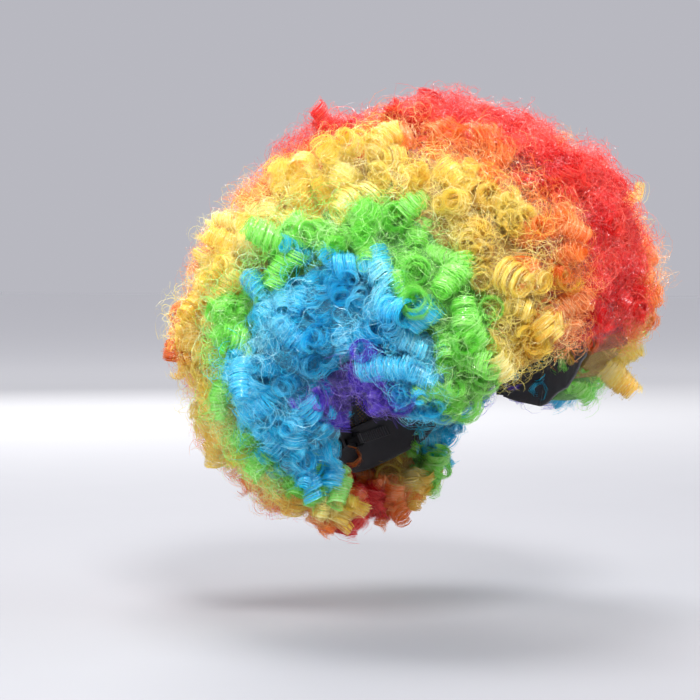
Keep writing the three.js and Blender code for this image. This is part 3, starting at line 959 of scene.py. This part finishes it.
def net_piece(head, node, settings, material):
    """Knitted net with a round hole in each mesh: the threads and the holes are real."""
    pitch = settings.net_pitch
    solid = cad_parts[node].data
    tree = BVHTree.FromPolygons([v.co for v in solid.vertices], [p.vertices for p in solid.polygons])
    u, v = spread_out(head, node_points(node), by_the_ear(node))
    out = float(np.median(head.read(node_points(node))[2]))
    across, along = (u + v) / math.sqrt(2), (u - v) / math.sqrt(2)
    columns = np.arange(math.floor(across.min() / pitch), math.ceil(across.max() / pitch))
    rows = np.arange(math.floor(along.min() / pitch), math.ceil(along.max() / pitch))
    cells = np.stack(np.meshgrid(columns, rows, indexing="ij"), -1).reshape(-1, 2)

    def spot(at):
        place = at * pitch
        one, other = place[..., 0], place[..., 1]
        ring, turn = head_at(head, (one + other) / math.sqrt(2), (one - other) / math.sqrt(2), node)
        return ring, turn

    start = Vector(head.centre)
    ways = head.ways(*spot(cells + 0.5))
    held = [tree.ray_cast(start, Vector(way))[0] is not None for way in ways]
    cells = cells[np.array(held)]
    angles = np.radians(np.arange(8) * 45.0 + 225.0)
    edge = np.array(((0, 0), (0.5, 0), (1, 0), (1, 0.5), (1, 1), (0.5, 1), (0, 1), (0, 0.5)))
    hole = 0.5 + settings.net_hole / 2 * np.stack((np.cos(angles), np.sin(angles)), -1)
    outer, inner = cells[:, None] + edge, cells[:, None] + hole
    shared, corner = np.unique((outer * 2).round().astype(int).reshape(-1, 2), axis=0, return_inverse=True)
    corner = corner.reshape(-1, 8)
    ring, turn = spot(np.concatenate((shared / 2, inner.reshape(-1, 2))))
    points = puckered(head, head.place(ring, turn, out))
    holes = len(shared) + np.arange(len(cells) * 8).reshape(-1, 8)
    faces = np.stack((corner, np.roll(corner, -1, 1), np.roll(holes, -1, 1), holes), -1).reshape(-1, 4)
    return add_piece(node + "_cloth", points, faces, material, "net")


def cloth_piece(head, node, material):
    """A finely divided copy of a band, tab or ribbon, slightly puckered."""
    made = bmesh.new()
    made.from_mesh(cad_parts[node].data)
    bmesh.ops.remove_doubles(made, verts=made.verts, dist=2e-6)
    for _ in range(6):
        long = [e for e in made.edges if e.calc_length() > CLOTH_STEP]
        if not long:
            break
        bmesh.ops.subdivide_edges(made, edges=long, cuts=1)
        bmesh.ops.triangulate(made, faces=[f for f in made.faces if len(f.verts) > 4])
    mesh = bpy.data.meshes.new(node + "_cloth")
    made.to_mesh(mesh)
    made.free()
    points = puckered(head, mesh_points(mesh))
    mesh.vertices.foreach_set("co", points.ravel())
    mesh.polygons.foreach_set("use_smooth", np.ones(len(mesh.polygons), bool))
    mesh.set_sharp_from_angle(angle=math.radians(50))
    mesh.materials.clear()
    piece = piece_of(mesh, material)
    u, v = spread_out(head, points, by_the_ear(node))
    add_values(piece, "across", u)
    add_values(piece, "along", v)
    return piece


TRACK_REACH = 0.09  # from the row centre to the tracks
STITCH_SHARE = 0.62  # of a stitch's length is thread, and the rest is the gap to the next
STITCH_POINTS = 4
STITCH_LIFT = 0.00006  # clear of the track
STITCH_ARCH = 0.0001


def sew_tracks(head, settings):
    """Two rows of stitches on the inside of every track."""
    material = material_for(thread_material, settings)
    lines = []
    for node in (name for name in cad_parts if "_weft" in name):
        ring, turn, out = head.read(node_points(node))
        middle = float(np.median(ring))
        step = math.degrees(settings.stitch / (TRACK_REACH * math.sin(math.radians(middle))))
        starts = np.arange(turn.min() + 1, turn.max() - 1, step)
        t = np.linspace(0.0, STITCH_SHARE * step, STITCH_POINTS)[None, :] + starts[:, None]
        arch = np.sin(np.linspace(0, math.pi, STITCH_POINTS))[None, :]
        depth = out.min() - STITCH_LIFT - STITCH_ARCH * arch
        for side in (-0.5, 0.5):
            slant = np.linspace(-0.25, 0.25, STITCH_POINTS)[None, :] * side
            lines.append(head.place(middle + side + slant + 0 * t, t, depth + 0 * t))
    lines = np.concatenate(lines)
    around = unit(np.cross(np.gradient(lines, axis=1), lines - head.centre))
    width = np.full(lines.shape[:2], settings.thread)
    tones = np.random.default_rng(5).uniform(0, 1, len(lines))
    add_fibres("track_stitches", lines, around, width, tones, material, "weft_tape")


def waves(graph, scale, direction):
    settings = {"wave_type": "BANDS", "bands_direction": direction}
    inputs = {"Vector": graph.place(), "Scale": scale, "Distortion": 0.6}
    return graph.node("ShaderNodeTexWave", settings, inputs)[1]


def cloth_colours(settings, dark, light):
    """A darker and a lighter colour of the cap's cloth."""
    return [tuple(v * gain * 1.5 for v in settings.cloth) + (1.0,) for gain in (dark, light)]


def textured(graph, colours, roughness, relief, sheen=0.0):
    """Finishes a material from a factor and its two colours, and a bump's height, distance and strength."""
    return graph.finish(graph.principled({
        "Base Color": graph.mix(*colours),
        "Roughness": roughness,
        "Normal": graph.bump(*relief),
        "Sheen Weight": sheen,
    }))


def net_material(settings):
    """Fine knitted thread."""
    graph = Graph("stretch_net")
    fluff = graph.noise(1500.0)
    twist = waves(graph, 900.0, "DIAGONAL") * 0.7 + fluff * 0.3
    colours = (fluff, *cloth_colours(settings, 0.8, 1.9))
    return textured(graph, colours, 0.6 + 0.25 * fluff, (twist, 0.0002, 0.8), 0.25)


def band_material(settings):
    """Stretch cloth with fine ribs across it."""
    graph = Graph("stretch_band")
    knit = graph.attribute("along").teeth(0.0011) * 0.6 + graph.attribute("across").teeth(0.0009) * 0.4
    wear = graph.noise(90.0, 4.0)
    colours = ((knit * 0.6 + wear * 0.5).clamped(), *cloth_colours(settings, 0.55, 1.6))
    return textured(graph, colours, 0.72 + 0.16 * wear, (knit, 0.0003, 0.9), 0.35)


def ribbon_material(settings):
    """Woven ribbon with a slight shine."""
    graph = Graph("soft_ribbon")
    diagonal = graph.attribute("across") + graph.attribute("along")
    weave = diagonal.teeth(0.0014) * 0.7 + graph.noise(700.0) * 0.3
    colours = (weave, *cloth_colours(settings, 1.1, 2.6))
    return textured(graph, colours, 0.42 + 0.2 * weave, (weave, 0.0002, 0.8), 0.3)


def tape_material(settings):
    """Folded weft tape with the ends of the fibres sewn into it."""
    graph = Graph("weft_tape")
    sewn = (waves(graph, 190.0, "Y") + waves(graph, 190.0, "Z")) * 0.5
    fluff = graph.noise(1100.0, 3.0)
    colours = ((sewn * 0.6 + fluff * 0.4).clamped(), *cloth_colours(settings, 0.6, 2.0))
    return textured(graph, colours, 0.7 + 0.2 * fluff, (sewn + fluff * 0.5, 0.0004, 0.8), 0.3)


def elastic_material(settings):
    """Ribbed elastic tape."""
    graph = Graph("ribbed_elastic")
    ribs = waves(graph, 260.0, "X")
    fluff = graph.noise(1300.0)
    colours = ((ribs * 0.7 + fluff * 0.3).clamped(), *cloth_colours(settings, 0.5, 1.7))
    return textured(graph, colours, 0.6 + 0.2 * fluff, (ribs, 0.0003, 0.9), 0.25)


def label_material(_settings):
    """Smooth woven label with nothing on it."""
    graph = Graph("blank_label")
    weave = (waves(graph, 500.0, "X") + waves(graph, 500.0, "Z")) * 0.5
    colours = (weave, (0.74, 0.73, 0.70, 1), (0.88, 0.87, 0.84, 1))
    return textured(graph, colours, 0.4 + 0.15 * weave, (weave, 0.0001, 0.7), 0.2)


def plastic_material(_settings):
    """Moulded satin plastic."""
    graph = Graph("satin_plastic")
    grain = graph.noise(1800.0, 3.0)
    colours = (grain, (0.006, 0.006, 0.007, 1), (0.012, 0.012, 0.014, 1))
    return textured(graph, colours, 0.3 + 0.12 * grain, (grain, 0.00004, 0.6))


def thread_material(settings):
    """Twisted sewing thread."""
    graph = Graph("sewing_thread")
    tone = (graph.attribute("tone") + graph.noise(2600.0)) * 0.5
    colour = graph.mix(tone, *cloth_colours(settings, 2.2, 5.0))
    return graph.finish(graph.principled({"Base Color": colour, "Roughness": 0.45 + 0.2 * tone}))


CLOTH_MATERIALS = {"band": band_material, "ribbon": ribbon_material}
FITTING_MATERIALS = {
    "weft_tape": tape_material,
    "elastic": elastic_material,
    "label": label_material,
    "hook_plastic": plastic_material,
}


# ---- Stage ----

FLOOR_REACH = 20.0
AIM_RIGHT = -0.0565  # middle of the view, across it and up from the origin
AIM_UP = 0.016


def make_floor(level):
    """The pale floor, with painted shade that darkens it near the wig, and the light of the room."""
    graph = Graph("floor_pale")
    speck = graph.noise(9.0, 4.0) - 0.5
    reach = graph.node("ShaderNodeVectorMath", {"operation": "LENGTH"}, {0: graph.place()})[0]
    # Painted shade: the floor's colour is dark near the wig and grows pale from 0.6 to 4 m out.
    painted_light = (reach.smooth(0.6, 4.0) + speck * 0.02).clamped()
    colour = graph.mix(painted_light, (0.33, 0.33, 0.35, 1), (0.98, 0.98, 0.98, 1))
    material = graph.finish(graph.principled({"Base Color": colour, "Roughness": 0.8}))
    corners = [(x * FLOOR_REACH, y * FLOOR_REACH, level) for x, y in ((-1, -1), (1, -1), (1, 1), (-1, 1))]
    mesh = bpy.data.meshes.new("floor")
    mesh.from_pydata(corners, [], [(0, 1, 2, 3)])
    mesh.materials.append(material)
    show("floor", mesh)
    world = bpy.data.worlds.new("studio")
    bpy.context.scene.world = world
    world.use_nodes = True
    light = world.node_tree.nodes["Background"].inputs
    light["Color"].default_value = (0.60, 0.60, 0.66, 1)
    light["Strength"].default_value = 0.8
    bpy.context.scene.view_settings.view_transform = "Standard"


LIGHT_AIM = Vector((0.0, 0.0, 0.03))
LIGHTS = (
    # name, place, width, power
    ("key", (-1.6, -1.3, 1.8), 0.7, 74.0),
    ("fill", (-1.9, 0.9, 0.7), 1.3, 18.0),
    ("front", (0.9, -2.0, 0.9), 1.2, 22.0),
    ("top", (0.1, 0.2, 2.2), 1.0, 38.0),
    ("rim", (1.6, 1.5, 1.2), 1.0, 30.0),
)


def make_lights():
    for name, place, width, power in LIGHTS:
        light = bpy.data.lights.new(name, "AREA")
        light.size = width
        light.energy = power
        lamp = show(name, light)
        lamp.location = place
        lamp.rotation_euler = (LIGHT_AIM - lamp.location).to_track_quat("-Z", "Y").to_euler()


SENSOR = 36.0  # mm


def make_camera(settings):
    """The camera looks across the wearer's right side, from a little in front of it."""
    azimuth, elevation = settings.azimuth, settings.elevation
    right = Vector((math.cos(azimuth), math.sin(azimuth), 0.0))
    flat = math.cos(elevation)
    towards = Vector((math.sin(azimuth) * flat, -math.cos(azimuth) * flat, math.sin(elevation)))
    aim = right * AIM_RIGHT + Vector((0.0, 0.0, AIM_UP))
    data = bpy.data.cameras.new("camera")
    data.sensor_width = SENSOR
    data.lens = SENSOR * settings.camera_distance / settings.view_width
    data.clip_start = 0.05
    data.clip_end = 60.0
    camera = show("camera", data)
    camera.location = aim + towards * settings.camera_distance
    camera.rotation_euler = (-towards).to_track_quat("-Z", "Y").to_euler()
    bpy.context.scene.camera = camera


# ---- Settings ----


# The three colours of each fibre: a painted shade, the plain colour and a painted highlight.
SHADES = {"_deep": "in the shade", "": "in plain light", "_pale": "in full light"}


def size(name, description, default, **more):
    return bpy.props.FloatProperty(name=name, description=description, default=default, unit="LENGTH", **more)


def share(name, description, default):
    return bpy.props.FloatProperty(name=name, description=description, default=default, subtype="FACTOR")


def angle(name, description, degrees):
    default = math.radians(degrees)
    return bpy.props.FloatProperty(name=name, description=description, default=default, subtype="ANGLE")


def tint(name, description, rgb):
    """A colour setting, from the red, green and blue that a screen takes, 0 to 255."""
    linear = tuple(((v / 255 + 0.055) / 1.055) ** 2.4 if v > 10 else v / 255 / 12.92 for v in rgb)
    return bpy.props.FloatVectorProperty(
        name=name, description=description, default=linear, subtype="COLOR", size=3, min=0.0, max=1.0
    )


class WigHeadSettings(bpy.types.PropertyGroup):
    head_breadth: size("Head breadth", "Width of the head that the cap is cut for", 0.160)
    head_length: size("Head length", "Front to back of the head", 0.198)
    crown_height: size("Crown height", "Height of the crown over the widest level", 0.110)
    row_centre: bpy.props.FloatVectorProperty(
        name="Row centre",
        description="Middle of the ear line that the rows of hair run round",
        default=(0.0, 0.008, -0.016),
        unit="LENGTH",
        size=3,
    )


class WigHairSettings(bpy.types.PropertyGroup):
    seed: bpy.props.IntProperty(name="Seed", description="Changes every random curl", default=11)
    spacing: size("Spacing", "Distance between ringlets on the outside of the hair", 0.0135)
    curl_radius: size("Curl radius", "Middle radius of a ringlet", 0.0080)
    curl_pitch: size("Curl pitch", "Rise of a ringlet in one turn", 0.0078)
    fibre_width: size("Fibre width", "Width of a fibre in a ringlet", 0.00021)
    fibres: bpy.props.IntProperty(name="Fibres", description="Fibres in a ringlet", default=44, min=8)
    frizz: bpy.props.IntProperty(name="Frizz", description="Loose fine fibres over the wig", default=42000)
    frizz_width: size("Frizz width", "Width of a loose fibre", 0.00018)
    lumps: size("Lumps", "How far the tufts stand in and out", 0.006)
    translucency: share("Translucency", "Share of light that passes through a fibre", 0.3)


# Each fibre's painted shade, plain colour and painted highlight, as screen colours from 0 to 255.
FIBRE_COLOURS = {
    "purple": ((58, 24, 150), (112, 72, 222), (206, 180, 255)),
    "blue": ((0, 158, 224), (44, 216, 252), (186, 248, 255)),
    "green": ((72, 200, 38), (154, 246, 94), (232, 255, 196)),
    "yellow": ((246, 164, 34), (255, 228, 96), (255, 250, 196)),
    "orange": ((222, 70, 8), (255, 142, 46), (255, 214, 150)),
    "red": ((165, 0, 10), (232, 16, 26), (255, 120, 96)),
}
for _colour, _tints in FIBRE_COLOURS.items():
    for (_suffix, _light), _rgb in zip(SHADES.items(), _tints):
        WigHairSettings.__annotations__[_colour + _suffix] = tint(
            f"{_colour.title()}, {_light}", f"Colour of {_colour} fibre {_light}", _rgb
        )


class WigCapSettings(bpy.types.PropertyGroup):
    cloth: tint("Cap colour", "Colour of the nets, bands and tapes", (46, 46, 50))
    net_pitch: size("Net pitch", "Distance from one hole of the net to the next", 0.0024)
    net_hole: share("Net hole", "Width of a hole, as a share of the pitch", 0.76)
    stitch: size("Stitch", "Length from one stitch to the next", 0.0032)
    thread: size("Thread", "Width of the sewing thread", 0.00035)


class WigStageSettings(bpy.types.PropertyGroup):
    floor_drop: size("Floor drop", "Distance of the floor below the lowest curl", 0.06)
    camera_distance: size("Camera distance", "Distance of the camera from the middle of the view", 1.4)
    view_width: size("View width", "Width that the camera takes in at that distance", 0.455)
    azimuth: angle("Azimuth", "Way the camera looks from, round the wig", -60)
    elevation: angle("Elevation", "Height of the camera over the horizon", 2)


# ---- Operators ----


class WIG_OT_hair_mass(bpy.types.Operator):
    """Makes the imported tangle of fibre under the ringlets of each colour"""

    bl_idname = "wig.hair_mass"
    bl_label = "Hair mass"

    def execute(self, context):
        settings = context.scene.wig_hair
        space = hair_space(context)
        for node in hair_nodes():
            material = material_for(mass_material, settings, colour_of(node))
            piece = packed_mass(space, settings, node, material)
            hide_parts(node)
        return {"FINISHED"}


class WIG_OT_ringlets(bpy.types.Operator):
    """Winds the ringlets of every colour"""

    bl_idname = "wig.ringlets"
    bl_label = "Ringlets"

    def execute(self, context):
        settings = context.scene.wig_hair
        space = hair_space(context)
        rng = np.random.default_rng(settings.seed)
        ringlets = Ringlets()
        over_surface(space, settings, rng, ringlets)
        along_edges(space, settings, rng, ringlets)
        hang_loose_curls(space, settings, ringlets)
        most = MOST_FACES // (settings.fibres * (LEAD_STEPS + MOST_TURNS * COIL_STEPS))
        for node in hair_nodes():
            mine = np.flatnonzero(ringlets.node == node)
            mine = mine[np.argsort(ringlets.turns[mine])]
            material = material_for(hair_material, settings, colour_of(node))
            for i, chosen in enumerate(split_evenly(mine, most)):
                name = node.replace("_hair", "_ringlets") + f"_{i + 1}"
                add_fibres(name, *wound_lines(ringlets, chosen, settings, rng), material, kind_of(node))
        return {"FINISHED"}


class WIG_OT_frizz(bpy.types.Operator):
    """Scatters the loose fine fibres that stand round the ringlets"""

    bl_idname = "wig.frizz"
    bl_label = "Frizz"

    def execute(self, context):
        settings = context.scene.wig_hair
        space = hair_space(context)
        rng = np.random.default_rng(settings.seed + 100)
        for node, (low, high) in space.bands.items():
            colour = colour_of(node)
            area = math.cos(math.radians(low)) - math.cos(math.radians(high))
            count = int(settings.frizz * area / 2 * FRIZZ_SHARE[colour])
            parts = math.ceil(count * FRIZZ_STEPS / MOST_FACES)
            material = material_for(hair_material, settings, colour)
            for i in range(parts):
                fibres = frizz_lines(space, settings, rng, low, high, count // parts)
                add_fibres(node.replace("_hair", "_frizz") + f"_{i + 1}", *fibres, material, kind_of(node))
        return {"FINISHED"}


class WIG_OT_cap(bpy.types.Operator):
    """Makes the cap's nets, bands, ear tabs and ribbons as cloth"""

    bl_idname = "wig.cap"
    bl_label = "Cap cloth"

    def execute(self, context):
        settings = context.scene.wig_cap
        head = Head(context.scene.wig_head)
        for node in NET_NODES:
            piece = net_piece(head, node, settings, material_for(net_material, settings))
            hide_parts(node)
        for node in CLOTH_NODES:
            kind = kind_of(node)
            piece = cloth_piece(head, node, material_for(CLOTH_MATERIALS[kind], settings))
            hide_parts(node)
        return {"FINISHED"}


class WIG_OT_fittings(bpy.types.Operator):
    """Finishes the tracks, bindings, straps, hooks, loops and label, and sews the tracks"""

    bl_idname = "wig.fittings"
    bl_label = "Tracks and fittings"

    def execute(self, context):
        settings = context.scene.wig_cap
        head = Head(context.scene.wig_head)
        for name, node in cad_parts.items():
            kind = kind_of(name)
            if kind not in FITTING_MATERIALS or name in CLOTH_NODES:
                continue
            node.data.materials.clear()
            node.data.materials.append(material_for(FITTING_MATERIALS[kind], settings))
        sew_tracks(head, settings)
        return {"FINISHED"}


class WIG_OT_stage(bpy.types.Operator):
    """Sets up the floor, the lights and the camera"""

    bl_idname = "wig.stage"
    bl_label = "Stage"

    def execute(self, context):
        settings = context.scene.wig_stage
        make_floor(cad_box[0][2] - settings.floor_drop)
        make_lights()
        make_camera(settings)
        return {"FINISHED"}


class WIG_PT_panel(bpy.types.Panel):
    """Lists the wig's making steps and its settings"""

    bl_idname = "WIG_PT_panel"
    bl_label = "Costume wig"
    bl_space_type = "VIEW_3D"
    bl_region_type = "UI"
    bl_category = "Wig"

    def draw(self, context):
        scene = context.scene
        for name, group in SETTINGS.items():
            box = self.layout.box()
            for key in group.__annotations__:
                box.prop(getattr(scene, name), key)
        for operator in OPERATORS:
            self.layout.operator(operator.bl_idname)


# ---- Adding it to Blender ----

SETTINGS = {
    "wig_head": WigHeadSettings,
    "wig_cap": WigCapSettings,
    "wig_hair": WigHairSettings,
    "wig_stage": WigStageSettings,
}
OPERATORS = (
    WIG_OT_stage,
    WIG_OT_cap,
    WIG_OT_fittings,
    WIG_OT_hair_mass,
    WIG_OT_ringlets,
    WIG_OT_frizz,
)


def register():
    for name, group in SETTINGS.items():
        bpy.utils.register_class(group)
        setattr(bpy.types.Scene, name, bpy.props.PointerProperty(type=group))
    for made in OPERATORS + (WIG_PT_panel,):
        bpy.utils.register_class(made)


def unregister():
    for made in reversed(OPERATORS + (WIG_PT_panel,)):
        bpy.utils.unregister_class(made)
    for name, group in SETTINGS.items():
        delattr(bpy.types.Scene, name)
        bpy.utils.unregister_class(group)


def main():
    register()
    for operator in OPERATORS:
        group, action = operator.bl_idname.split(".")
        getattr(getattr(bpy.ops, group), action)()


if __name__ == "__main__":
    main()
